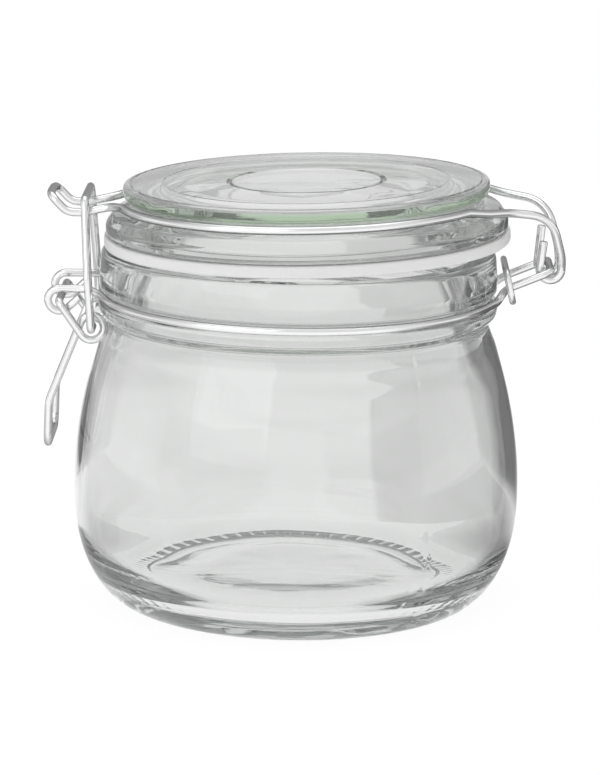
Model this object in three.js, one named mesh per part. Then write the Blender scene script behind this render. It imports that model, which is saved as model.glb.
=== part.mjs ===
// Clip-top glass storage jar: a bellied glass jar, a glass lid with a rubber ring,
// and a closure of bent steel wires. Millimetres, +Z up. The latch is at -X, the hinge at +X.
import * as THREE from 'three';

// ---------- driving dimensions ----------
const AXIS_X = -1.6;          // the jar's own axis, so that the whole is centred on the origin
const SEG = 32;               // facets round the glass
const SIDES = 8;              // facets round a wire

const BASE = { under: 0.85, ringIn: 38.0, ringOut: 41.5, floor: 5.1, dome: 1.35 };
const BELLY_R = 54.5;         // widest, at BELLY_Z
const BELLY_Z = 28;
const NECK = { root: 46.3, beadR: 48.7, beadZ: 73.3, grooveR: 46.9, bandR: 48.3, topR: 47.8, mouthR: 42.0, topZ: 86.5 };

const LID = { x: 1.95, z: 91.4, tilt: THREE.MathUtils.degToRad(1.6), discR: 44.3, top: 11.8, under: 7.5, flangeR: 48.7,
  shoulder: 6.1, grooveR: 42.6, ringOut: 39.1, ringIn: 36.2, ringDrop: 5.2, padR: 18.7, padDrop: 0.6 };
const GASKET = { outer: 49.2, inner: 39.5, top: -0.27, thick: 2.9 };

const NECK_WIRE = { d: 1.9, r: 48.3, z: 75.75, earY: 10.1, hingeY: 8.3 };
const HINGE = { x: 60.8, z: 83.0 };            // middle of the crossbar that the lid turns on
const LID_WIRE = { d: 2.0, r: 45.5, z: 7.4, hookY: 5.2, hookR: 2.6, tongueY: 7.6, frontEnd: 89.9, rearEnd: 92.0 };
const PIVOT = { x: -57.3, z: 74.8 };           // the lever's crossbar in the two ears
const EYE = { x: -49.4, z: 68.4, r: 2.9 };    // the lever's eyes, where the link is held
const LEVER = { d: 1.9, outY: 12.9, inY: 10.7 };
const LINK = { d: 2.0, legY: 15.15, barY: 10.2, barX: -51.2, barZ: 99.3 };
const RING = { d: 1.6, x: 50.9, z: 79.3, halfY: 10.5, halfZ: 3.8, corner: 2.6, lean: THREE.MathUtils.degToRad(13) };

// ---------- colours ----------
const glassLook = () => new THREE.MeshStandardMaterial({ color: 0xe4e8e6, roughness: 0.05, metalness: 0, transparent: true, opacity: 0.35 });
const lidLook = () => new THREE.MeshStandardMaterial({ color: 0xd9e6dc, roughness: 0.05, metalness: 0, transparent: true, opacity: 0.4 });
const rubberLook = () => new THREE.MeshStandardMaterial({ color: 0xebebe8, roughness: 0.55, metalness: 0 });
const steelLook = () => new THREE.MeshStandardMaterial({ color: 0xdcdddf, roughness: 0.18, metalness: 1 });

const group = new THREE.Group();
group.position.x = AXIS_X;

function add(name, geometry, material) {
  const mesh = new THREE.Mesh(geometry, material);
  mesh.name = name;
  group.add(mesh);
  return mesh;
}

// ---------- turned pieces ----------
const turned = (profile) => {
  const g = new THREE.LatheGeometry(profile.map(([r, z]) => new THREE.Vector2(Math.max(r, 0), z)), SEG);
  g.rotateX(Math.PI / 2);       // the lathe turns about Y; the object stands along Z
  return g;
};

// The belly's outside, from the heel to the root of the neck: radius at a height.
const sideZ = [2, 4.2, 7.2, 11, 16, 22, BELLY_Z, 34, 40, 46, 52, 57, 61, 64, 66.5, 68.5];
const sideR = [46.0, 48.2, 50.1, 51.9, 53.4, 54.3, BELLY_R, 54.3, 53.7, 52.8, 51.55, 50.25, 49.1, 48.2, 47.2, NECK.root];
const wallAt = (z) => 3.5 + 0.9 * THREE.MathUtils.smoothstep(z, 52, 69);   // glass thickness up the side

function jarProfile() {
  const B = BASE, N = NECK;
  const outside = sideZ.map((z, i) => [sideR[i], z]);
  const inside = sideZ.slice(4).map((z, i) => [sideR[i + 4] - wallAt(z), z]).reverse();
  return [
    [0, B.under], [30, B.under - 0.15], [B.ringIn - 1.1, 0.4], [B.ringIn, 0], [B.ringOut, 0], [44.0, 0.7],
    ...outside,
    [N.root, 70.2], [47.6, 71.2], [N.beadR, 72.4], [N.beadR, 73.8], [48.1, 74.5],           // bead
    [N.grooveR, 74.75], [N.grooveR, 76.5],                                                  // groove of the neck wire
    [47.7, 77.1], [N.bandR, 77.8], [N.bandR - 0.05, 80.5], [N.topR, N.topZ - 1.8], [N.topR - 0.9, N.topZ - 0.3], [N.topR - 2.0, N.topZ],
    [N.mouthR + 1.5, N.topZ], [N.mouthR + 0.3, N.topZ - 0.6], [N.mouthR, N.topZ - 2.0],     // mouth
    [N.mouthR, 72.5],
    ...inside,
    [47.3, 11.4], [44.3, 8.0], [39.5, 5.95], [33, B.floor], [28, B.floor], [24.5, B.floor + 0.35], [20, B.floor + B.dome - 0.3], [14, B.floor + B.dome - 0.05],
    [0, B.floor + B.dome],
  ];
}
add('jar_glass', turned(jarProfile()), glassLook());

// ---------- lid ----------
// Places a point of the lid's own frame, which is shifted and tilted on the jar as the wires hold it.
const lidMatrix = new THREE.Matrix4().makeRotationY(-LID.tilt).setPosition(LID.x, 0, LID.z);
const onLid = (x, y, z) => new THREE.Vector3(x, y, z).applyMatrix4(lidMatrix);

function lidProfile() {
  const L = LID;
  return [
    [0, L.under], [30.5, L.under], [34.2, 6.3], [35.7, 3.4], [L.ringIn, 0], [L.ringIn, -L.ringDrop + 0.8], [L.ringIn + 0.8, -L.ringDrop],
    [L.ringOut - 0.8, -L.ringDrop], [L.ringOut, -L.ringDrop + 0.8], [L.ringOut, 0],          // ring that sits in the mouth
    [L.flangeR - 0.5, 0], [L.flangeR, 0.7], [L.flangeR, 1.6], [L.flangeR - 0.4, 3.1], [L.flangeR - 1.4, 4.5], [L.flangeR - 3.0, 5.5], [L.flangeR - 4.7, L.shoulder - 0.1],
    [L.grooveR + 0.4, L.shoulder], [L.grooveR, L.shoulder + 0.5], [L.grooveR, 7.9], [L.grooveR + 0.4, 8.3],   // groove of the lid wire
    [L.discR - 1.1, 8.5], [L.discR - 0.3, 9.3], [L.discR, 10.2], [L.discR - 0.3, 11.1], [L.discR - 1.2, L.top],
    [L.padR + 0.7, L.top], [L.padR + 0.3, L.top - L.padDrop], [L.padR - 0.3, L.top - L.padDrop], [L.padR - 0.7, L.top - 0.1], [0, L.top - 0.1],
  ].reverse();
}
const lid = turned(lidProfile().reverse());
lid.applyMatrix4(lidMatrix);
add('lid_glass', lid, lidLook());

const gasket = turned([
  [GASKET.inner, GASKET.top - GASKET.thick], [GASKET.outer - 0.6, GASKET.top - GASKET.thick], [GASKET.outer, GASKET.top - GASKET.thick + 0.7],
  [GASKET.outer, GASKET.top - 0.7], [GASKET.outer - 0.6, GASKET.top], [GASKET.inner, GASKET.top],
  [GASKET.inner, GASKET.top - GASKET.thick],
]);
gasket.applyMatrix4(lidMatrix);
add('seal_ring', gasket, rubberLook());

// ---------- wires ----------
const V = (x, y, z) => new THREE.Vector3(x, y, z);
const mirrorY = (pts) => pts.map((p) => V(p.x, -p.y, p.z)).reverse();

// A wire's centre line through given points, one step of the tube to each.
class WirePath extends THREE.Curve {
  constructor(points) { super(); this.points = points; }
  getPoint(t) {
    const k = Math.min(Math.max(t, 0), 1) * (this.points.length - 1), i = Math.min(Math.floor(k), this.points.length - 2);
    return this.points[i].clone().lerp(this.points[i + 1], k - i);
  }
  getPointAt(t) { return this.getPoint(t); }
  getTangentAt(t) {
    const n = this.points.length - 1, i = Math.round(t * n);
    const before = this.points[Math.max(i - 1, 0)], here = this.points[i], after = this.points[Math.min(i + 1, n)];
    const a = here.clone().sub(before), b = after.clone().sub(here);
    if (a.lengthSq() > 0) a.normalize();
    if (b.lengthSq() > 0) b.normalize();
    return a.add(b).normalize();
  }
}

// Rounds every corner of a route to its bend radius, with a point about every `turn` degrees of bend.
function bent(route, turn = 26) {
  const out = [route[0].p];
  for (let i = 1; i < route.length - 1; i++) {
    const { p, r = 3 } = route[i], a = route[i - 1].p.clone().sub(p), b = route[i + 1].p.clone().sub(p);
    const la = a.length(), lb = b.length();
    a.normalize(); b.normalize();
    const angle = Math.PI - a.angleTo(b);               // how far the wire turns here
    if (angle < 0.02) { out.push(p); continue; }
    const cut = Math.min(r * Math.tan(angle / 2), 0.499 * la, 0.499 * lb);
    const rad = cut / Math.tan(angle / 2);
    const middle = a.clone().add(b).normalize().multiplyScalar(rad / Math.cos(angle / 2)).add(p);
    const start = p.clone().addScaledVector(a, cut).sub(middle), end = p.clone().addScaledVector(b, cut).sub(middle);
    const n = Math.max(1, Math.round(THREE.MathUtils.radToDeg(angle) / turn));
    for (let k = 0; k <= n; k++) {
      const t = k / n, s = Math.sin(angle);
      out.push(start.clone().multiplyScalar(Math.sin((1 - t) * angle) / s).addScaledVector(end, Math.sin(t * angle) / s).add(middle));
    }
  }
  out.push(route[route.length - 1].p);
  return out.filter((p, i) => i === 0 || p.distanceTo(out[i - 1]) > 0.05);
}
const at = (x, y, z, r) => ({ p: V(x, y, z), r });

function wire(name, points, d) {
  const section = new THREE.Shape();
  for (let i = 0; i < SIDES; i++) {
    const a = (i + 0.5) / SIDES * 2 * Math.PI, r = d / 2;
    if (i === 0) section.moveTo(r * Math.cos(a), r * Math.sin(a)); else section.lineTo(r * Math.cos(a), r * Math.sin(a));
  }
  const g = new THREE.ExtrudeGeometry(section, { steps: points.length - 1, bevelEnabled: false, extrudePath: new WirePath(points) });
  add(name, g, steelLook());
}

// An arc of a hoop round the jar or lid, at fixed radius, between two angles in degrees.
const hoop = (r, z, from, to, place = V) => {
  const n = Math.round(Math.abs(to - from) / 9.5), out = [];
  for (let i = 0; i <= n; i++) {
    const a = THREE.MathUtils.degToRad(from + (to - from) * i / n);
    out.push(place(r * Math.cos(a), r * Math.sin(a), z));
  }
  return out;
};
const deg = (y, r) => THREE.MathUtils.radToDeg(Math.asin(y / r));

// Neck wire: from the front ear round the front of the neck to the hinge, and back round behind.
function neckWire() {
  const W = NECK_WIRE, P = PIVOT, curl = 2.75;
  const ear = [];                                           // front ear, from its cut end
  const tip = V(P.x + 4.9, -W.earY, P.z + 0.75);
  ear.push(tip);
  for (let i = 0; i <= 9; i++) {                            // under, round the outside and over the pivot
    const a = THREE.MathUtils.degToRad(-48 - (312 - 90) * i / 9);
    ear.push(V(P.x + curl * Math.cos(a), -W.earY, P.z + curl * Math.sin(a)));
  }
  const left = bent([{ p: ear[ear.length - 1] }, at(-50.6, -W.earY - 0.1, P.z + curl, 4), at(-47.3, -13.2, W.z + 0.9, 5),
    { p: hoop(W.r, W.z, 180 + deg(19, W.r), 180 + deg(19, W.r) + 1)[0] }]);
  const round = hoop(W.r, W.z, -180 + deg(23, W.r), -deg(19, W.r));
  const right = bent([{ p: round[round.length - 1] }, at(47.8, -12.0, W.z + 0.25, 5), at(49.9, -W.hingeY, 78.5, 3.5), at(HINGE.x, -W.hingeY, HINGE.z, 2.2),
    at(HINGE.x, 0, HINGE.z)]);
  const half = [...ear, ...left.slice(1), ...round, ...right.slice(1)];
  return [...half, ...mirrorY(half).slice(1)];
}
wire('neck_wire', neckWire(), NECK_WIRE.d);

// Lid wire: hook, arm, round the lid in its groove, the tongue, and back the same way.
function lidWire() {
  const W = LID_WIRE, H = HINGE;
  const hook = [V(H.x - 1.8, -W.hookY, W.frontEnd)];
  for (let i = 0; i <= 8; i++) {                            // down the inside, under the crossbar and up the outside
    const a = THREE.MathUtils.degToRad(180 + 182 * i / 8);
    hook.push(V(H.x + W.hookR * Math.cos(a), -W.hookY, H.z + W.hookR * Math.sin(a)));
  }
  const start = -deg(25, W.r), end = -180 + deg(11.5, W.r);
  const round = hoop(W.r, W.z, start, end, onLid);
  const arm = bent([{ p: hook[hook.length - 1] }, at(63.35, -7.0, 86.2, 14), at(60.4, -11.5, 96.9, 9), at(50.2, -14.4, 98.3, 9), at(44.8, -20.2, 98.9, 12),
    { p: round[0] }]);
  const tongue = bent([{ p: round[round.length - 1] }, at(-44.9, -W.tongueY, 97.25, 5), at(-51.6, -W.tongueY, 95.75, 8), at(-55.6, -W.tongueY, 95.75, 4),
    at(-59.3, -W.tongueY, 99.6, 4.5), at(-59.7, -3.5, 99.9, 3), at(-59.75, 0, 99.95)]);
  const half = [...hook, ...arm.slice(1), ...round.slice(1), ...tongue.slice(1)];
  const back = mirrorY(half);
  back[back.length - 1].z = W.rearEnd;                      // the rear end was cut longer
  return [...half, ...back.slice(1)];
}
wire('lid_wire', lidWire(), LID_WIRE.d);

// Lever: one wire, from the middle of its pivot bar down to an eye, once round it and on to the handle.
function lever() {
  const L = LEVER, P = PIVOT, E = EYE;
  const dx = E.x - P.x, dz = E.z - P.z, dist = Math.hypot(dx, dz), reach = Math.atan2(dz, dx) - Math.asin(E.r / dist);
  const first = reach - Math.PI / 2;                        // where the strand from the pivot meets the eye's circle
  const handleDir = THREE.MathUtils.degToRad(246);
  let last = handleDir - Math.PI / 2;                       // where the handle leaves it, going round anticlockwise
  while (last < first) last += 2 * Math.PI;
  while (last - first > 2 * Math.PI) last -= 2 * Math.PI;
  if (last - first < Math.PI) last += 2 * Math.PI;
  const eye = [], n = 12;
  for (let i = 0; i <= n; i++) {
    const a = first + (last - first) * i / n, y = L.outY + (L.inY - L.outY) * i / n;
    eye.push(V(E.x + E.r * Math.cos(a), -y, E.z + E.r * Math.sin(a)));
  }
  const top = bent([at(P.x, -0.2, P.z), at(P.x, -L.outY, P.z, 1.5), { p: eye[0] }]);
  const grip = bent([{ p: eye[n] }, at(-59.9, -L.inY, 50.0, 9), at(-60.3, -L.inY, 39.0, 3.2), at(-60.3, 0, 39.0)]);
  const half = [...top, ...eye.slice(1), ...grip.slice(1)];
  const back = mirrorY(half);
  return [...half, ...back.slice(1)];
}
wire('lever', lever(), LEVER.d);

// Link: feet through the lever's eyes, two legs, and the bar that hooks over the tongue.
function link() {
  const L = LINK, E = EYE;
  const up = (t) => [E.x + (L.barX - E.x) * t, E.z + (L.barZ - E.z) * t];
  const [kx, kz] = up(0.42);
  const half = bent([at(E.x, -9.4, E.z), at(E.x, -L.legY, E.z, 1.2), at(kx, -L.legY + 0.05, kz, 12), at(L.barX, -L.barY, L.barZ, 1.8), at(L.barX, 0, L.barZ)]);
  return [...half, ...mirrorY(half).slice(1)];
}
wire('latch_link', link(), LINK.d);

// Clip ring: a flat ring round both strands of the hinge end of the neck wire.
function clipRing() {
  const R = RING, c = Math.cos(R.lean), s = Math.sin(R.lean);
  const place = (y, h) => ({ p: V(R.x - s * h, y, R.z + c * h), r: R.corner });
  return bent([place(0.2, -R.halfZ), place(R.halfY, -R.halfZ), place(R.halfY, R.halfZ), place(-R.halfY, R.halfZ), place(-R.halfY, -R.halfZ), place(-0.2, -R.halfZ)], 30);
}
wire('clip_ring', clipRing(), RING.d);

export default group;
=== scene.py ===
# Looks of a clip-top glass storage jar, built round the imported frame. Metres, +Z up.
import math

import bpy
from mathutils import Matrix, Vector, noise


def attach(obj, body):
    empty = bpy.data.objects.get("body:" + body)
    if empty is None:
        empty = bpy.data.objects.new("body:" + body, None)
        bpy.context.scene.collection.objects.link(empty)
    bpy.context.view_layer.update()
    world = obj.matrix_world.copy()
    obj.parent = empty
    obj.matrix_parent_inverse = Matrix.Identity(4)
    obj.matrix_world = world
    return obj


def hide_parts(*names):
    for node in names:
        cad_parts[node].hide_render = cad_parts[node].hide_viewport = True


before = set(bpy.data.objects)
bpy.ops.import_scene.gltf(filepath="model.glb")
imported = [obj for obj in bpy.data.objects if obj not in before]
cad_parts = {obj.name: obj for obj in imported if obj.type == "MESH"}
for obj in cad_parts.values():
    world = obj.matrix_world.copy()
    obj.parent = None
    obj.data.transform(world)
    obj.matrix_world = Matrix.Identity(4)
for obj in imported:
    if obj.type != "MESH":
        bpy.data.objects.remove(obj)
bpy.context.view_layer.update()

MM = 0.001
AXIS_X = -1.6                      # the jar's own axis in the row frame, mm
rad = math.radians

# ---------- sizes, as in the CAD, in millimetres ----------
BELLY = [(43.4, 0.45), (44.6, 1.0), (46.0, 2.0), (48.2, 4.2), (50.1, 7.2), (51.9, 11.0), (53.4, 16.0), (54.3, 22.0), (54.5, 28.0),
         (54.3, 34.0), (53.7, 40.0), (52.8, 46.0), (51.55, 52.0), (50.25, 57.0), (49.1, 61.0), (48.2, 64.0), (47.2, 66.5), (46.45, 68.6)]
LID = dict(x=1.95, z=91.4, tilt=rad(1.6))
NECK_WIRE = dict(d=1.9, r=48.3, z=75.75, earY=10.1, hingeY=8.3)
HINGE = dict(x=60.8, z=83.0)
LID_WIRE = dict(d=2.0, r=45.5, z=7.4, hookY=5.2, hookR=2.6, tongueY=7.6, frontEnd=89.9, rearEnd=92.0)
PIVOT = dict(x=-57.3, z=74.8)
EYE = dict(x=-49.4, z=68.4, r=2.9)
LEVER = dict(d=1.9, outY=12.9, inY=10.7)
LINK = dict(d=2.0, legY=15.15, barY=10.2, barX=-51.2, barZ=99.3)
RING = dict(d=1.6, x=50.9, z=79.3, halfY=10.5, halfZ=3.8, corner=2.6, lean=rad(13))
TICKS = 68                         # short marks round the contact ring
SEGS = TICKS * 8


# ---------- helpers: profiles ----------
def fillet(points, step=15.0):
    """Rounds the corners of a profile of (r, z, radius) points; a missing radius is a plain point."""
    pts = [(Vector((p[0], p[1])), p[2] if len(p) > 2 else 0.0) for p in points]
    out = []
    for i, (p, r) in enumerate(pts):
        if r <= 0 or i in (0, len(pts) - 1):
            out.append((p.x, p.y))
            continue
        a, b = pts[i - 1][0] - p, pts[i + 1][0] - p
        la, lb = a.length, b.length
        a.normalize()
        b.normalize()
        ang = math.pi - a.angle(b)
        if ang < 0.01:
            out.append((p.x, p.y))
            continue
        cut = min(r * math.tan(ang / 2), 0.49 * la, 0.49 * lb)
        rr = cut / math.tan(ang / 2)
        mid = p + (a + b).normalized() * (rr / math.cos(ang / 2))
        s, e = p + a * cut - mid, p + b * cut - mid
        n = max(2, int(math.degrees(ang) / step) + 1)
        for k in range(n + 1):
            t, sn = k / n, math.sin(ang)
            q = s * (math.sin((1 - t) * ang) / sn) + e * (math.sin(t * ang) / sn) + mid
            out.append((q.x, q.y))
    return out


def spline(points, n=3):
    """A Catmull-Rom curve through the points, n steps to each stretch."""
    P = [Vector(p[:2]) for p in points]
    P = [2 * P[0] - P[1]] + P + [2 * P[-1] - P[-2]]
    out = []
    for i in range(1, len(P) - 2):
        p0, p1, p2, p3 = P[i - 1], P[i], P[i + 1], P[i + 2]
        t0, t1 = 0.0, max((p1 - p0).length, 1e-6) ** 0.5
        t2 = t1 + max((p2 - p1).length, 1e-6) ** 0.5
        t3 = t2 + max((p3 - p2).length, 1e-6) ** 0.5
        for k in range(n):
            t = t1 + (t2 - t1) * k / n
            a1 = p0 * ((t1 - t) / (t1 - t0)) + p1 * ((t - t0) / (t1 - t0))
            a2 = p1 * ((t2 - t) / (t2 - t1)) + p2 * ((t - t1) / (t2 - t1))
            a3 = p2 * ((t3 - t) / (t3 - t2)) + p3 * ((t - t2) / (t3 - t2))
            b1 = a1 * ((t2 - t) / (t2 - t0)) + a2 * ((t - t0) / (t2 - t0))
            b2 = a2 * ((t3 - t) / (t3 - t1)) + a3 * ((t - t1) / (t3 - t1))
            c = b1 * ((t2 - t) / (t2 - t1)) + b2 * ((t - t1) / (t2 - t1))
            out.append((c.x, c.y))
    out.append((P[-2].x, P[-2].y))
    return out


def finish_mesh(name, verts, faces, mat, smooth=True):
    me = bpy.data.meshes.new(name)
    me.from_pydata([tuple(v) for v in verts], [], faces)
    me.validate()
    me.update()
    # outward faces: a positive volume
    vol = 0.0
    me.calc_loop_triangles()
    vs = me.vertices
    for t in me.loop_triangles:
        a, b, c = (vs[i].co for i in t.vertices)
        vol += a.dot(b.cross(c))
    if vol < 0:
        me.flip_normals()
    if smooth:
        me.polygons.foreach_set("use_smooth", [True] * len(me.polygons))
    ob = bpy.data.objects.new(name, me)
    bpy.context.scene.collection.objects.link(ob)
    me.materials.append(mat)
    return ob


def lathe(name, profile, mat, segs, place=None, shape=None):
    """Turns a profile of (r, z) in mm about the jar's axis; shape(r, z, angle, index) may move a point."""
    clean = [profile[0]]
    for p in profile[1:]:
        if math.hypot(p[0] - clean[-1][0], p[1] - clean[-1][1]) > 0.015:
            clean.append(p)
    verts, rows = [], []
    for i, (r, z) in enumerate(clean):
        if r < 1e-6:
            verts.append((0.0, 0.0, z))
            rows.append([len(verts) - 1])
            continue
        row = []
        for k in range(segs):
            a = 2 * math.pi * k / segs
            rr, zz = shape(r, z, a, i) if shape else (r, z)
            row.append(len(verts))
            verts.append((rr * math.cos(a), rr * math.sin(a), zz))
        rows.append(row)
    closed = clean[0][0] > 1e-6 and clean[-1][0] > 1e-6
    pairs = list(zip(rows, rows[1:])) + ([(rows[-1], rows[0])] if closed else [])
    faces = []
    for lo, up in pairs:
        for k in range(segs):
            j = (k + 1) % segs
            if len(lo) == 1:
                faces.append((lo[0], up[j], up[k]))
            elif len(up) == 1:
                faces.append((lo[k], lo[j], up[0]))
            else:
                faces.append((lo[k], lo[j], up[j], up[k]))
    out = []
    for v in verts:
        v = Vector(v)
        if place is not None:
            v = place @ v
        out.append(((v.x + AXIS_X) * MM, v.y * MM, v.z * MM))
    return finish_mesh(name, out, faces, mat)


# ---------- helpers: wires ----------
def at(x, y, z, r=3.0):
    return (Vector((x, y, z)), r)


def bent(route, turn=7.0):
    out = [route[0][0]]
    for i in range(1, len(route) - 1):
        p, r = route[i]
        a, b = route[i - 1][0] - p, route[i + 1][0] - p
        la, lb = a.length, b.length
        a.normalize()
        b.normalize()
        ang = math.pi - a.angle(b)
        if ang < 0.02:
            out.append(p)
            continue
        cut = min(r * math.tan(ang / 2), 0.499 * la, 0.499 * lb)
        rr = cut / math.tan(ang / 2)
        mid = p + (a + b).normalized() * (rr / math.cos(ang / 2))
        s, e = p + a * cut - mid, p + b * cut - mid
        n = max(2, round(math.degrees(ang) / turn))
        for k in range(n + 1):
            t, sn = k / n, math.sin(ang)
            out.append(s * (math.sin((1 - t) * ang) / sn) + e * (math.sin(t * ang) / sn) + mid)
    out.append(route[-1][0])
    kept = [out[0]]
    for p in out[1:]:
        if (p - kept[-1]).length > 0.04:
            kept.append(p)
    return kept


def mirror_y(pts):
    return [Vector((p.x, -p.y, p.z)) for p in reversed(pts)]


lid_place = Matrix.Translation((LID["x"], 0, LID["z"])) @ Matrix.Rotation(-LID["tilt"], 4, "Y")


def hoop(r, z, start, end, place=None, step=3.0):
    n = max(1, round(abs(end - start) / step))
    out = []
    for i in range(n + 1):
        a = rad(start + (end - start) * i / n)
        p = Vector((r * math.cos(a), r * math.sin(a), z))
        out.append(place @ p if place is not None else p)
    return out


def deg(y, r):
    return math.degrees(math.asin(y / r))


def wire(name, pts, d, mat, sides=16):
    """A round wire along the points, with square-cut, lightly dressed ends."""
    r = d / 2
    n = len(pts)
    tang = []
    for i in range(n):
        a = (pts[i] - pts[max(i - 1, 0)])
        b = (pts[min(i + 1, n - 1)] - pts[i])
        if a.length:
            a.normalize()
        if b.length:
            b.normalize()
        tang.append((a + b).normalized())
    up = Vector((0.31, 0.17, 0.93))
    normal = (up - tang[0] * up.dot(tang[0])).normalized()
    verts, rows = [], []

    def ring(centre, t, nn, radius):
        bb = t.cross(nn)
        row = []
        for k in range(sides):
            a = 2 * math.pi * k / sides
            v = centre + nn * (radius * math.cos(a)) + bb * (radius * math.sin(a))
            row.append(len(verts))
            verts.append(v)
        rows.append(row)

    for i in range(n):
        t = tang[i]
        normal = (normal - t * normal.dot(t)).normalized()
        if i == 0:
            ring(pts[0], t, normal, r * 0.80)
            ring(pts[0] + t * (0.12 * r), t, normal, r * 0.97)
            ring(pts[0] + t * (0.30 * r), t, normal, r)
        elif i == n - 1:
            ring(pts[-1] - t * (0.30 * r), t, normal, r)
            ring(pts[-1] - t * (0.12 * r), t, normal, r * 0.97)
            ring(pts[-1], t, normal, r * 0.80)
        else:
            ring(pts[i], t, normal, r)
    faces = []
    for lo, upr in zip(rows, rows[1:]):
        for k in range(sides):
            j = (k + 1) % sides
            faces.append((lo[k], lo[j], upr[j], upr[k]))
    faces.append(tuple(reversed(rows[0])))
    faces.append(tuple(rows[-1]))
    out = [((v.x + AXIS_X) * MM, v.y * MM, v.z * MM) for v in verts]
    ob = finish_mesh(name, out, faces, mat)
    ob.data.polygons[len(faces) - 1].use_smooth = False
    ob.data.polygons[len(faces) - 2].use_smooth = False
    return ob


# ---------- materials ----------
def new_material(name):
    m = bpy.data.materials.new(name)
    m.use_nodes = True
    nt = m.node_tree
    nt.nodes.clear()
    out = nt.nodes.new("ShaderNodeOutputMaterial")
    bsdf = nt.nodes.new("ShaderNodeBsdfPrincipled")
    nt.links.new(bsdf.outputs["BSDF"], out.inputs["Surface"])
    return m, nt, bsdf, out


def glass(name, tint, absorb, density, wave=0.05, streak=0.05):
    """Clear pressed glass: a little ripple from the mould and fine vertical drag lines."""
    m, nt, b, out = new_material(name)
    b.inputs["Base Color"].default_value = (*tint, 1)
    b.inputs["Transmission Weight"].default_value = 1.0
    b.inputs["IOR"].default_value = 1.51
    b.inputs["Roughness"].default_value = 0.0
    tc = nt.nodes.new("ShaderNodeTexCoord")
    mp = nt.nodes.new("ShaderNodeMapping")
    mp.inputs["Scale"].default_value = (1.0, 1.0, 0.35)
    nt.links.new(tc.outputs["Object"], mp.inputs["Vector"])
    big = nt.nodes.new("ShaderNodeTexNoise")
    big.inputs["Scale"].default_value = 55.0
    big.inputs["Detail"].default_value = 1.5
    nt.links.new(mp.outputs["Vector"], big.inputs["Vector"])
    fine = nt.nodes.new("ShaderNodeTexNoise")
    fine.inputs["Scale"].default_value = 320.0
    fine.inputs["Detail"].default_value = 2.0
    nt.links.new(mp.outputs["Vector"], fine.inputs["Vector"])
    b1 = nt.nodes.new("ShaderNodeBump")
    b1.inputs["Strength"].default_value = wave
    b1.inputs["Distance"].default_value = 0.0012
    nt.links.new(big.outputs["Fac"], b1.inputs["Height"])
    b2 = nt.nodes.new("ShaderNodeBump")
    b2.inputs["Strength"].default_value = streak
    b2.inputs["Distance"].default_value = 0.00012
    nt.links.new(fine.outputs["Fac"], b2.inputs["Height"])
    nt.links.new(b1.outputs["Normal"], b2.inputs["Normal"])
    nt.links.new(b2.outputs["Normal"], b.inputs["Normal"])
    vol = nt.nodes.new("ShaderNodeVolumeAbsorption")
    vol.inputs["Color"].default_value = (*absorb, 1)
    vol.inputs["Density"].default_value = density
    nt.links.new(vol.outputs["Volume"], out.inputs["Volume"])
    return m


def steel():
    m, nt, b, _ = new_material("bright_steel_wire")
    b.inputs["Base Color"].default_value = (0.92, 0.92, 0.925, 1)
    b.inputs["Specular Tint"].default_value = (0.30, 0.30, 0.305, 1)
    b.inputs["Metallic"].default_value = 1.0
    tc = nt.nodes.new("ShaderNodeTexCoord")
    n1 = nt.nodes.new("ShaderNodeTexNoise")
    n1.inputs["Scale"].default_value = 420.0
    n1.inputs["Detail"].default_value = 3.0
    nt.links.new(tc.outputs["Object"], n1.inputs["Vector"])
    ramp = nt.nodes.new("ShaderNodeMapRange")
    ramp.inputs["From Min"].default_value = 0.3
    ramp.inputs["From Max"].default_value = 0.7
    ramp.inputs["To Min"].default_value = 0.17
    ramp.inputs["To Max"].default_value = 0.23
    nt.links.new(n1.outputs["Fac"], ramp.inputs["Value"])
    nt.links.new(ramp.outputs["Result"], b.inputs["Roughness"])
    n2 = nt.nodes.new("ShaderNodeTexNoise")
    n2.inputs["Scale"].default_value = 900.0
    n2.inputs["Detail"].default_value = 2.0
    nt.links.new(tc.outputs["Object"], n2.inputs["Vector"])
    bp = nt.nodes.new("ShaderNodeBump")
    bp.inputs["Strength"].default_value = 0.03
    bp.inputs["Distance"].default_value = 0.0001
    nt.links.new(n2.outputs["Fac"], bp.inputs["Height"])
    nt.links.new(bp.outputs["Normal"], b.inputs["Normal"])
    return m


def rubber():
    m, nt, b, _ = new_material("seal_rubber")
    tc = nt.nodes.new("ShaderNodeTexCoord")
    n1 = nt.nodes.new("ShaderNodeTexNoise")
    n1.inputs["Scale"].default_value = 90.0
    n1.inputs["Detail"].default_value = 4.0
    nt.links.new(tc.outputs["Object"], n1.inputs["Vector"])
    ramp = nt.nodes.new("ShaderNodeValToRGB")
    ramp.color_ramp.elements[0].position = 0.3
    ramp.color_ramp.elements[0].color = (0.93, 0.93, 0.92, 1)
    ramp.color_ramp.elements[1].position = 0.7
    ramp.color_ramp.elements[1].color = (0.97, 0.97, 0.965, 1)
    nt.links.new(n1.outputs["Fac"], ramp.inputs["Fac"])
    nt.links.new(ramp.outputs["Color"], b.inputs["Base Color"])
    b.inputs["Roughness"].default_value = 0.38
    b.inputs["Transmission Weight"].default_value = 0.18
    b.inputs["IOR"].default_value = 1.41
    b.inputs["Subsurface Weight"].default_value = 0.6
    b.inputs["Subsurface Radius"].default_value = (0.004, 0.004, 0.004)
    n2 = nt.nodes.new("ShaderNodeTexNoise")
    n2.inputs["Scale"].default_value = 1500.0
    nt.links.new(tc.outputs["Object"], n2.inputs["Vector"])
    bp = nt.nodes.new("ShaderNodeBump")
    bp.inputs["Strength"].default_value = 0.15
    bp.inputs["Distance"].default_value = 0.00006
    nt.links.new(n2.outputs["Fac"], bp.inputs["Height"])
    nt.links.new(bp.outputs["Normal"], b.inputs["Normal"])
    return m


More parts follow.
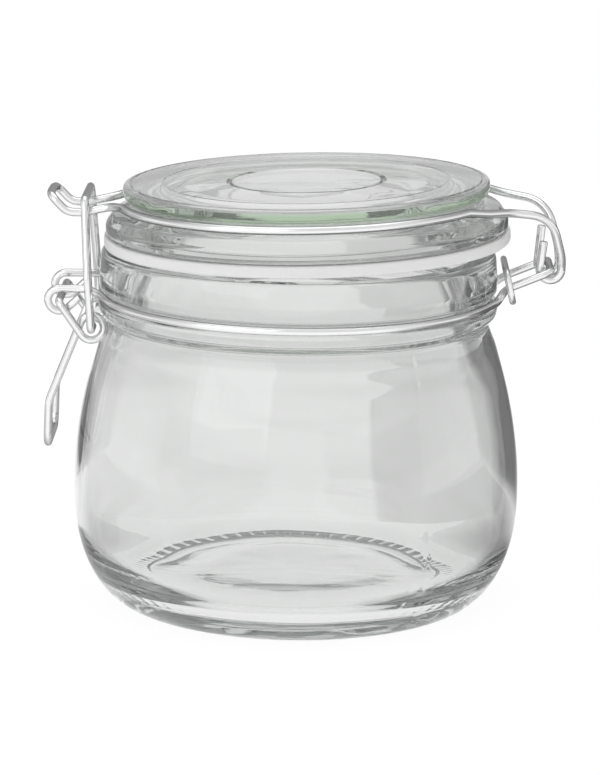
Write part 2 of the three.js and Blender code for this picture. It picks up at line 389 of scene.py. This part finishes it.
JAR_GLASS = glass("clear_glass_jar", (0.89, 0.895, 0.89), (0.58, 0.62, 0.60), 9.0, wave=0.06, streak=0.04)
LID_GLASS = glass("clear_glass_lid", (0.86, 0.865, 0.86), (0.60, 0.66, 0.62), 4.0, wave=0.03, streak=0.03)


def green_rim_and_painted_shade(m):
    """The disc's thick rim is pale green, as glass is when seen along its length; painted shade lines also darken
    the top where it bends.
    """
    nt = m.node_tree
    b = next(n for n in nt.nodes if n.type == "BSDF_PRINCIPLED")
    tc = nt.nodes.new("ShaderNodeTexCoord")
    mp = nt.nodes.new("ShaderNodeMapping")
    mp.vector_type = "TEXTURE"         # undoes the lid's place, so heights are the lid's own
    mp.inputs["Location"].default_value = ((LID["x"] + AXIS_X) * MM, 0, LID["z"] * MM)
    mp.inputs["Rotation"].default_value = (0, -LID["tilt"], 0)
    nt.links.new(tc.outputs["Object"], mp.inputs["Vector"])
    sp = nt.nodes.new("ShaderNodeSeparateXYZ")
    nt.links.new(mp.outputs["Vector"], sp.inputs["Vector"])
    flat = nt.nodes.new("ShaderNodeCombineXYZ")
    nt.links.new(sp.outputs["X"], flat.inputs["X"])
    nt.links.new(sp.outputs["Y"], flat.inputs["Y"])
    ln = nt.nodes.new("ShaderNodeVectorMath")
    ln.operation = "LENGTH"
    nt.links.new(flat.outputs["Vector"], ln.inputs[0])
    far = nt.nodes.new("ShaderNodeMapRange")
    far.inputs["From Min"].default_value, far.inputs["From Max"].default_value = 0.0431, 0.0438
    nt.links.new(ln.outputs["Value"], far.inputs["Value"])
    high = nt.nodes.new("ShaderNodeMapRange")
    high.inputs["From Min"].default_value, high.inputs["From Max"].default_value = 0.0080, 0.0086
    nt.links.new(sp.outputs["Z"], high.inputs["Value"])
    low = nt.nodes.new("ShaderNodeMapRange")
    low.inputs["From Min"].default_value, low.inputs["From Max"].default_value = 0.0104, 0.0111
    low.inputs["To Min"].default_value, low.inputs["To Max"].default_value = 1.0, 0.0
    nt.links.new(sp.outputs["Z"], low.inputs["Value"])
    rim = nt.nodes.new("ShaderNodeMath")
    rim.operation = "MULTIPLY"
    nt.links.new(far.outputs["Result"], rim.inputs[0])
    nt.links.new(low.outputs["Result"], rim.inputs[1])
    both = nt.nodes.new("ShaderNodeMath")
    both.operation = "MULTIPLY"
    nt.links.new(rim.outputs["Value"], both.inputs[0])
    nt.links.new(high.outputs["Result"], both.inputs[1])
    mix = nt.nodes.new("ShaderNodeMix")
    mix.data_type = "RGBA"
    mix.inputs["A"].default_value = (0.86, 0.865, 0.86, 1)
    mix.inputs["B"].default_value = (0.56, 0.72, 0.52, 1)
    nt.links.new(both.outputs["Value"], mix.inputs["Factor"])
    # painted shade: thin dark lines in the colour where the top bends (round the middle pad, round the flat and
    # at the rim), standing in for the dark refraction and reflection there
    part = nt.nodes.new("ShaderNodeMapRange")
    part.inputs["From Max"].default_value = 0.045
    nt.links.new(ln.outputs["Value"], part.inputs["Value"])
    lines = nt.nodes.new("ShaderNodeValToRGB")
    el = lines.color_ramp.elements
    el[0].color = el[1].color = (1, 1, 1, 1)
    for r, v in ((17.8, 1.0), (18.1, 0.32), (19.2, 0.32), (19.5, 1.0), (33.7, 1.0), (34.1, 0.66), (34.7, 0.66), (35.1, 1.0), (41.9, 1.0), (42.3, 0.45), (43.0, 0.45), (43.3, 1.0)):
        e1 = el.new(r / 45.0)
        e1.color = (v, v, v, 1)
    nt.links.new(part.outputs["Result"], lines.inputs["Fac"])
    top = nt.nodes.new("ShaderNodeMapRange")
    top.inputs["From Min"].default_value, top.inputs["From Max"].default_value = 0.0108, 0.0111
    nt.links.new(sp.outputs["Z"], top.inputs["Value"])
    # painted shade: the dark lines are multiplied into the colour of the top face only
    mul = nt.nodes.new("ShaderNodeMix")
    mul.data_type = "RGBA"
    mul.blend_type = "MULTIPLY"
    nt.links.new(top.outputs["Result"], mul.inputs["Factor"])
    nt.links.new(mix.outputs["Result"], mul.inputs["A"])
    nt.links.new(lines.outputs["Color"], mul.inputs["B"])
    nt.links.new(mul.outputs["Result"], b.inputs["Base Color"])


green_rim_and_painted_shade(LID_GLASS)
STEEL = steel()
RUBBER = rubber()


# ---------- the jar ----------
base = fillet([(0, 0.85), (30.0, 0.7, 8), (36.9, 0.4, 1.0), (38.0, 0.0, 0.4), (41.5, 0.0, 1.4), (43.4, 0.45)])
outside = spline(BELLY, 3)
neck = fillet([(46.45, 68.6), (46.3, 69.9, 2.0), (48.3, 71.6, 1.5), (48.6, 74.25, 0.8), (46.9, 74.75, 0.55), (46.9, 76.65, 0.5), (48.3, 77.35, 0.8),
               (48.3, 80.5, 8), (47.75, 86.5, 1.5), (42.0, 86.5, 1.7), (42.0, 72.5, 6), (41.95, 68.5)])


def wall(z):
    t = min(max((z - 52) / 17, 0), 1)
    return 3.5 + 0.9 * t * t * (3 - 2 * t)


inner_pts = [(r - wall(z), z) for r, z in BELLY if z >= 16][::-1]
inner_pts[0] = (41.95, 68.5)
inner = spline(inner_pts + [(47.35, 11.2), (44.4, 8.05), (39.6, 6.0), (33.0, 5.15), (28.0, 5.1), (24.5, 5.45), (20.0, 6.15), (14.0, 6.4), (0.0, 6.45)], 3)
jar_profile = base + outside[1:] + neck[1:] + inner[1:]
SEAM = rad(-54.5)                  # where the two halves of the mould met, and again opposite


def jar_shape(r, z, a, i):
    # knurled contact ring: short radial marks pressed into the ring it stands on
    if z < 1.6 and 37.6 < r < 43.6:
        w = min(1.0, (r - 37.6) / 0.8, (43.6 - r) / 1.4)
        c = 0.5 + 0.5 * math.cos(TICKS * a)
        z += 0.12 * max(w, 0) * (1 - c) ** 1.5
    # mould seam up the outside
    if r > 45 and 1.5 < z < 74 and r >= OUT_AT(z) - 0.6:
        for s in (SEAM, SEAM + math.pi):
            d = abs((a - s + math.pi) % (2 * math.pi) - math.pi) * r
            if d < 0.9:
                r += 0.08 * (1 - d / 0.9)
    # slow unevenness of the inside wall, as pressed and blown glass has
    if 6.6 < z < 80 and r < OUT_AT(z) - 2.0 and r > 38:
        k = min(1.0, (z - 6.6) / 10)
        r += k * (0.22 * math.sin(2 * a + 0.8) + 0.14 * math.sin(3 * a - 1.1 + z * 0.02) + 0.10 * math.sin(5 * a + z * 0.05 + 0.4)
                  + 0.05 * math.sin(11 * a + 0.03 * z))
    # the floor's own ripple
    if 4.5 < z < 6.7 and r < 38:
        v = noise.noise(Vector((r * math.cos(a) * 0.09, r * math.sin(a) * 0.22, 3.1)))
        z += 0.09 * v * min(1.0, (38 - r) / 8)
    if z <= 2.6 and r < 35:
        v = noise.noise(Vector((r * math.cos(a) * 0.10, r * math.sin(a) * 0.20, 7.7)))
        z = max(z + 0.07 * v * min(1.0, (35 - r) / 6), 0.3)
    return r, z


def OUT_AT(z):
    """Outside radius at a height, by straight steps between the named points."""
    pts = BELLY + [(48.7, 72.0), (48.7, 74.2), (48.3, 77.5), (47.9, 86.5)]
    for (r0, z0), (r1, z1) in zip(pts, pts[1:]):
        if z0 <= z <= z1:
            return r0 + (r1 - r0) * (z - z0) / (z1 - z0)
    return 48.0


jar = lathe("jar_body", jar_profile, JAR_GLASS, SEGS, shape=jar_shape)
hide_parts("jar_glass")
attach(jar, "jar")

# ---------- the lid ----------
lid_profile = fillet([
    (0, 7.6), (29.5, 7.5, 6), (34.4, 6.2, 2.2), (35.9, 3.0, 3), (36.2, -0.5, 3), (36.2, -5.2, 1.0), (39.1, -5.2, 1.0), (39.1, 0, 0.5),
    (48.7, 0, 0.8), (48.7, 2.6, 2.6), (46.9, 5.2, 2.4), (43.8, 6.0, 2.0), (42.6, 6.1, 0.4), (42.6, 8.1, 0.5), (44.3, 8.7, 1.2), (44.3, 11.5, 0.7), (43.1, 11.8, 0.3), (42.8, 11.5, 0.1), (42.5, 11.5, 0.1), (42.2, 11.8, 0.1),
    (34.9, 11.8, 0.4), (34.5, 11.68, 0.4), (34.1, 11.8, 0.4), (19.4, 11.8, 0.15), (19.0, 11.1, 0.15), (18.4, 11.1, 0.15), (18.0, 11.7, 0.15), (0, 11.7)], step=11)


def lid_shape(r, z, a, i):
    if z > 11.0 and r < 43:
        v = noise.noise(Vector((r * math.cos(a) * 0.07, r * math.sin(a) * 0.07, 1.3)))
        z = min(z + 0.02 * v, 11.85)
    if 7.0 < z < 7.9 and r < 31:
        v = noise.noise(Vector((r * math.cos(a) * 0.10, r * math.sin(a) * 0.14, 5.9)))
        z += 0.04 * v
    if z < 4.5 and r < 38:
        r += 0.08 * math.sin(3 * a + 0.5) + 0.05 * math.sin(7 * a)
    return r, z


lid = lathe("lid_body", lid_profile, LID_GLASS, 288, place=lid_place, shape=lid_shape)
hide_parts("lid_glass")
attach(lid, "lid")

# ---------- the seal ring ----------
seal_profile = fillet([(44.0, -3.17), (49.2, -3.17, 0.75), (49.2, -0.27, 0.75), (39.5, -0.27, 0.5), (39.5, -3.17, 0.5), (43.9, -3.17)])
seal = lathe("seal_body", seal_profile, RUBBER, 224, place=lid_place)
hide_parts("seal_ring")
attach(seal, "lid")


# ---------- the wires ----------
def neck_wire():
    W, P, curl = NECK_WIRE, PIVOT, 2.75
    ear = [Vector((P["x"] + 4.9, -W["earY"], P["z"] + 0.75))]
    for i in range(31):
        a = rad(-48 - (312 - 90) * i / 30)
        ear.append(Vector((P["x"] + curl * math.cos(a), -W["earY"], P["z"] + curl * math.sin(a))))
    left = bent([(ear[-1], 0), at(-50.6, -W["earY"] - 0.1, P["z"] + curl, 4), at(-47.3, -13.2, W["z"] + 0.9, 5),
                 (hoop(W["r"], W["z"], 180 + deg(19, W["r"]), 180 + deg(19, W["r"]) + 1)[0], 0)])
    rnd = hoop(W["r"], W["z"], -180 + deg(23, W["r"]), -deg(19, W["r"]))
    right = bent([(rnd[-1], 0), at(47.8, -12.0, W["z"] + 0.25, 5), at(49.9, -W["hingeY"], 78.5, 3.5), at(HINGE["x"], -W["hingeY"], HINGE["z"], 2.2),
                  at(HINGE["x"], 0, HINGE["z"])])
    half = ear + left[1:] + rnd + right[1:]
    return half + mirror_y(half)[1:]


def lid_wire():
    W, H = LID_WIRE, HINGE
    hook = [Vector((H["x"] - 1.8, -W["hookY"], W["frontEnd"]))]
    for i in range(25):
        a = rad(180 + 182 * i / 24)
        hook.append(Vector((H["x"] + W["hookR"] * math.cos(a), -W["hookY"], H["z"] + W["hookR"] * math.sin(a))))
    rnd = hoop(W["r"], W["z"], -deg(25, W["r"]), -180 + deg(11.5, W["r"]), lid_place)
    arm = bent([(hook[-1], 0), at(63.35, -7.0, 86.2, 14), at(60.4, -11.5, 96.9, 9), at(50.2, -14.4, 98.3, 9), at(44.8, -20.2, 98.9, 12), (rnd[0], 0)])
    tongue = bent([(rnd[-1], 0), at(-44.9, -W["tongueY"], 97.25, 5), at(-51.6, -W["tongueY"], 95.75, 8), at(-55.6, -W["tongueY"], 95.75, 4),
                   at(-59.3, -W["tongueY"], 99.6, 4.5), at(-59.7, -3.5, 99.9, 3), at(-59.75, 0, 99.95)])
    half = hook + arm[1:] + rnd[1:] + tongue[1:]
    back = mirror_y(half)
    back[-1].z = W["rearEnd"]          # the rear end was cut longer
    return half + back[1:]


def lever():
    L, P, E = LEVER, PIVOT, EYE
    dx, dz = E["x"] - P["x"], E["z"] - P["z"]
    first = math.atan2(dz, dx) - math.asin(E["r"] / math.hypot(dx, dz)) - math.pi / 2
    last = rad(246) - math.pi / 2
    while last < first:
        last += 2 * math.pi
    while last - first > 2 * math.pi:
        last -= 2 * math.pi
    if last - first < math.pi:
        last += 2 * math.pi
    eye, n = [], 48
    for i in range(n + 1):
        a = first + (last - first) * i / n
        y = L["outY"] + (L["inY"] - L["outY"]) * i / n
        eye.append(Vector((E["x"] + E["r"] * math.cos(a), -y, E["z"] + E["r"] * math.sin(a))))
    top = bent([at(P["x"], -0.2, P["z"]), at(P["x"], -L["outY"], P["z"], 1.5), (eye[0], 0)])
    grip = bent([(eye[n], 0), at(-59.9, -L["inY"], 50.0, 9), at(-60.3, -L["inY"], 39.0, 3.2), at(-60.3, 0, 39.0)])
    half = top + eye[1:] + grip[1:]
    return half + mirror_y(half)[1:]


def link():
    L, E = LINK, EYE
    kx, kz = E["x"] + (L["barX"] - E["x"]) * 0.42, E["z"] + (L["barZ"] - E["z"]) * 0.42
    half = bent([at(E["x"], -9.4, E["z"]), at(E["x"], -L["legY"], E["z"], 1.2), at(kx, -L["legY"] + 0.05, kz, 12), at(L["barX"], -L["barY"], L["barZ"], 1.8),
                 at(L["barX"], 0, L["barZ"])])
    return half + mirror_y(half)[1:]


def clip_ring():
    R = RING
    c, s = math.cos(R["lean"]), math.sin(R["lean"])

    def place(y, h):
        return at(R["x"] - s * h, y, R["z"] + c * h, R["corner"])

    return bent([place(0.2, -R["halfZ"]), place(R["halfY"], -R["halfZ"]), place(R["halfY"], R["halfZ"]), place(-R["halfY"], R["halfZ"]),
                 place(-R["halfY"], -R["halfZ"]), place(-0.2, -R["halfZ"])])


for name, node, body, pts, d in (
    ("neck_wire_round", "neck_wire", "jar", neck_wire(), NECK_WIRE["d"]),
    ("lid_wire_round", "lid_wire", "lid", lid_wire(), LID_WIRE["d"]),
    ("lever_round", "lever", "lever", lever(), LEVER["d"]),
    ("latch_link_round", "latch_link", "link", link(), LINK["d"]),
    ("clip_ring_round", "clip_ring", "jar", clip_ring(), RING["d"]),
):
    w = wire(name, pts, d, STEEL)
    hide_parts(node)
    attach(w, body)

# ---------- floor, light and camera ----------
scene = bpy.context.scene
scene.view_settings.view_transform = "Standard"
scene.view_settings.look = "None"
scene.cycles.max_bounces = 40          # light crosses many faces inside thick glass
scene.cycles.transmission_bounces = 40
scene.cycles.glossy_bounces = 24

bpy.ops.mesh.primitive_circle_add(vertices=96, radius=6.0, fill_type="NGON", location=(0, 0, -0.0001))
floor = bpy.context.object
floor.name = "floor"
fm, fnt, fb, fout = new_material("pale_floor")
fb.inputs["Base Color"].default_value = (0.10, 0.10, 0.10, 1)
fb.inputs["Roughness"].default_value = 0.9
fb.inputs["Specular IOR Level"].default_value = 0.0
fb.inputs["Emission Color"].default_value = (1, 1, 1, 1)
fb.inputs["Emission Strength"].default_value = 0.94
floor.data.materials.append(fm)

world = scene.world or bpy.data.worlds.new("studio")
scene.world = world
world.use_nodes = True
wn = world.node_tree
wn.nodes.clear()
wo = wn.nodes.new("ShaderNodeOutputWorld")
bg = wn.nodes.new("ShaderNodeBackground")
tcw = wn.nodes.new("ShaderNodeTexCoord")
sep = wn.nodes.new("ShaderNodeSeparateXYZ")
cr = wn.nodes.new("ShaderNodeValToRGB")
wn.links.new(tcw.outputs["Generated"], sep.inputs["Vector"])
wn.links.new(sep.outputs["Z"], cr.inputs["Fac"])
side = wn.nodes.new("ShaderNodeMapRange")          # the tent is dark overhead only behind the jar
side.interpolation_type = "SMOOTHSTEP"
side.inputs["From Min"].default_value = -0.20
side.inputs["From Max"].default_value = 0.30
wn.links.new(sep.outputs["Y"], side.inputs["Value"])
both = wn.nodes.new("ShaderNodeMix")
both.data_type = "RGBA"
both.inputs["A"].default_value = (0.80, 0.80, 0.80, 1)
wn.links.new(side.outputs["Result"], both.inputs["Factor"])
wn.links.new(cr.outputs["Color"], both.inputs["B"])
wn.links.new(both.outputs["Result"], bg.inputs["Color"])
wn.links.new(bg.outputs["Background"], wo.inputs["Surface"])
e = cr.color_ramp.elements
e[0].position, e[0].color = 0.0, (0.90, 0.90, 0.90, 1)
e[1].position, e[1].color = 1.0, (0.85, 0.85, 0.85, 1)
for pos, v in ((0.27, 0.88), (0.40, 0.46), (0.60, 0.36), (0.82, 0.50)):
    el = e.new(pos)
    el.color = (v, v, v * 1.01, 1)
bg.inputs["Strength"].default_value = 0.95


def area(name, loc, target, size, size_y, power):
    li = bpy.data.lights.new(name, "AREA")
    li.shape = "RECTANGLE"
    li.size, li.size_y, li.energy = size, size_y, power
    ob = bpy.data.objects.new(name, li)
    scene.collection.objects.link(ob)
    ob.location = loc
    ob.rotation_mode = "QUATERNION"
    ob.rotation_quaternion = (Vector(target) - Vector(loc)).to_track_quat("-Z", "Y")
    return ob


area("overhead", (0.0, 0.35, 1.7), (0, 0, 0), 1.8, 1.4, 5)
area("left_box", (-0.9, -1.25, 0.75), (0, 0, 0.05), 1.3, 1.3, 4)


CARD_IN, CARD_LEAN = 0.068, rad(10)
CARD_EDGE, CARD_DARK, CARD_FADE = 0.7, (0.15, 0.52, 0.25, 0.20), 0.028
CARD_OUT = (0.95, 1.55, 1.1, 1.0)


def flag(name, verts, faces):
    """A dark card of the light tent: glass and steel mirror it, and nothing else sees it."""
    me = bpy.data.meshes.new(name)
    me.from_pydata(verts, [], faces)
    ob = bpy.data.objects.new(name, me)
    scene.collection.objects.link(ob)
    me.materials.append(DARK)
    ob.visible_camera = ob.visible_diffuse = ob.visible_shadow = False
    return ob


DARK = bpy.data.materials.new("grey_card")
DARK.use_nodes = True
dn = DARK.node_tree
dn.nodes.clear()
do = dn.nodes.new("ShaderNodeOutputMaterial")
de = dn.nodes.new("ShaderNodeEmission")
da = dn.nodes.new("ShaderNodeAttribute")
da.attribute_name = "tone"
dn.links.new(da.outputs["Color"], de.inputs["Color"])
dn.links.new(de.outputs["Emission"], do.inputs["Surface"])

# one card in each quarter, its corner towards the jar: straight ahead and straight behind stay white
steps = [0.0, 0.008, 0.016, 0.026, 0.038, 0.055, 0.08, 0.12, 0.18, 0.26, 0.36, 0.46]
for q in range(4):
    turn = Matrix.Rotation(rad(90 * q), 4, "Z")
    da_, db_ = Vector((math.sin(CARD_LEAN), math.cos(CARD_LEAN), 0)), Vector((math.cos(CARD_LEAN), math.sin(CARD_LEAN), 0))
    corner = Vector((CARD_IN, CARD_IN, 0.0006)) * CARD_OUT[q]
    vs, tones, fs = [], [], []
    n = len(steps)
    for i, u in enumerate(steps):
        for j, w in enumerate(steps):
            vs.append(turn @ (corner + da_ * u + db_ * w))
            tones.append(CARD_EDGE + (CARD_DARK[q] - CARD_EDGE) * min(1.0, min(u, w) / CARD_FADE))
    for i in range(n - 1):
        for j in range(n - 1):
            fs.append((i * n + j, i * n + j + 1, (i + 1) * n + j + 1, (i + 1) * n + j))
    rim = [i * n + n - 1 for i in range(n)] + [(n - 1) * n + j for j in range(n - 2, -1, -1)]
    top = len(vs)
    for k in rim:
        vs.append(vs[k] + Vector((0, 0, 0.20)))
        tones.append(tones[k])
    for k in range(len(rim) - 1):
        fs.append((rim[k], rim[k + 1], top + k + 1, top + k))
    ob = flag("card_%d" % q, vs, fs)
    att = ob.data.color_attributes.new("tone", "FLOAT_COLOR", "POINT")
    for k, t in enumerate(tones):
        att.data[k].color = (t, t, t, 1)
    ob.visible_glossy = q < 2          # the front pair would show in the steel

# a low grey card at each side, which the heel and the edges of the belly refract
for q, (mid, half, deep) in enumerate(((5, 42, 0.30), (178, 36, 0.60))):
    vs, tones, fs = [], [], []
    radii = (0.0495, 0.055, 0.062, 0.072, 0.088, 0.115, 0.16, 0.25, 0.40)
    for i, r in enumerate(radii):
        for j in range(13):
            a = rad(mid - half + 2 * half * j / 12)
            vs.append((AXIS_X * MM + r * math.cos(a), r * math.sin(a), 0.0004))
            k = min(1.0, i / 2.0) * min(1.0, j / 4.0, (12 - j) / 4.0)
            tones.append(0.88 + (deep - 0.88) * k)
    for i in range(len(radii) - 1):
        for j in range(12):
            fs.append((i * 13 + j, i * 13 + j + 1, (i + 1) * 13 + j + 1, (i + 1) * 13 + j))
    ob = flag("low_card_%d" % q, vs, fs)
    att = ob.data.color_attributes.new("tone", "FLOAT_COLOR", "POINT")
    for k, t in enumerate(tones):
        att.data[k].color = (t, t, t, 1)

# a pale sheet far behind, seen only through the glass: a little greyer further back, and to the right of a straight edge
vs, tones, fs = [], [], []
deep_rows = ((0.052, 0.985), (0.16, 0.985), (0.27, 0.97), (0.32, 0.88), (0.42, 0.86), (0.46, 0.83), (0.70, 0.83), (1.2, 0.86), (3.0, 0.90))
for y, t in deep_rows:
    edge = 0.0208 + (y - 0.08) * 0.007 if y < 0.3 else 0.044
    for x, k in ((-1.5, 1.0), (-0.3, 1.0), (edge - 0.0012, 1.0), (edge + 0.0012, 0.83), (0.10, 0.80), (0.3, 0.86), (1.5, 1.0)):
        vs.append((x, y, 0.0002))
        tones.append(t * k if y < 0.44 else t * (0.35 * k + 0.65))
for i in range(len(deep_rows) - 1):
    for j in range(6):
        fs.append((i * 7 + j, i * 7 + j + 1, (i + 1) * 7 + j + 1, (i + 1) * 7 + j))
ob = flag("far_sheet", vs, fs)
ob.visible_glossy = False
att = ob.data.color_attributes.new("tone", "FLOAT_COLOR", "POINT")
for k, t in enumerate(tones):
    att.data[k].color = (t, t, t, 1)

# camera: fitted to the photograph's view of the jar
cam_data = bpy.data.cameras.new("camera")
cam = bpy.data.objects.new("camera", cam_data)
scene.collection.objects.link(cam)
p, yaw, roll = 0.22341, -0.01235, 0.01272
fwd = Vector((math.sin(yaw) * math.cos(p), math.cos(yaw) * math.cos(p), -math.sin(p)))
right = Vector((math.cos(yaw), -math.sin(yaw), 0))
upv = right.cross(fwd)
r2 = right * math.cos(roll) + upv * math.sin(roll)
u2 = upv * math.cos(roll) - right * math.sin(roll)
rot = Matrix((r2, u2, -fwd)).transposed()
cam.matrix_world = Matrix.Translation(((10.782 + AXIS_X) * MM, -814.96 * MM, 236.91 * MM)) @ rot.to_4x4()
cam_data.sensor_fit = "AUTO"
cam_data.sensor_width = 36.0
cam_data.lens = 36.0 * 3414.8 / 775.0
cam_data.clip_start, cam_data.clip_end = 0.05, 60.0
cam_data.dof.use_dof = False
scene.camera = cam
